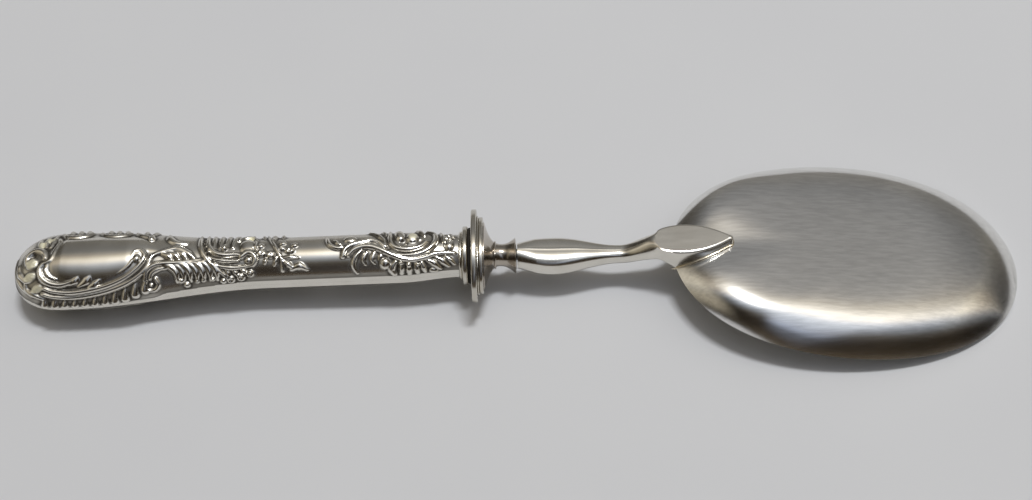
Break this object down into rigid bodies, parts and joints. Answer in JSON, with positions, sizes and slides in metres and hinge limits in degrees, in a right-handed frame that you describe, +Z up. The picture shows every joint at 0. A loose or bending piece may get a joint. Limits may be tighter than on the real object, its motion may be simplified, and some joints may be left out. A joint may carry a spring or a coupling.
{
  "type": "ice cream server",
  "caption": "Rococo ice cream server: broad shallow oval bowl soldered to a forged stem with a leaf-shaped pad, oval guard plates and a hollow stamped handle filled with cement.",
  "frame": {"origin": "on the table, under the middle of the server's bounding box, as it lies face down", "axes": "+X along the server from the butt of the handle to the tip of the bowl, +Z up, away from the table, so the bowl's hollow faces -Z"},
  "size_m": [0.262, 0.0602, 0.0209],
  "materials": {
    "silver_polished": "polished silver, worn, dark tarnish in the recesses",
    "silver_satin": "satin silver with fine wiping scratches",
    "cement": "hard dark pitch cement",
    "tang_steel": "forged steel"
  },
  "bodies": {
    "root": {"handle_front_shell": "silver_polished", "handle_back_shell": "silver_polished", "handle_filler": "cement", "handle_ferrule": "silver_polished", "large_guard_plate": "silver_polished", "guard_step_ring": "silver_polished", "small_guard_plate": "silver_polished", "trumpet_collar": "silver_polished", "neck_spool": "silver_polished", "tang": "tang_steel", "stem": "silver_polished", "bowl": "silver_satin"}
  },
  "joints": []
}
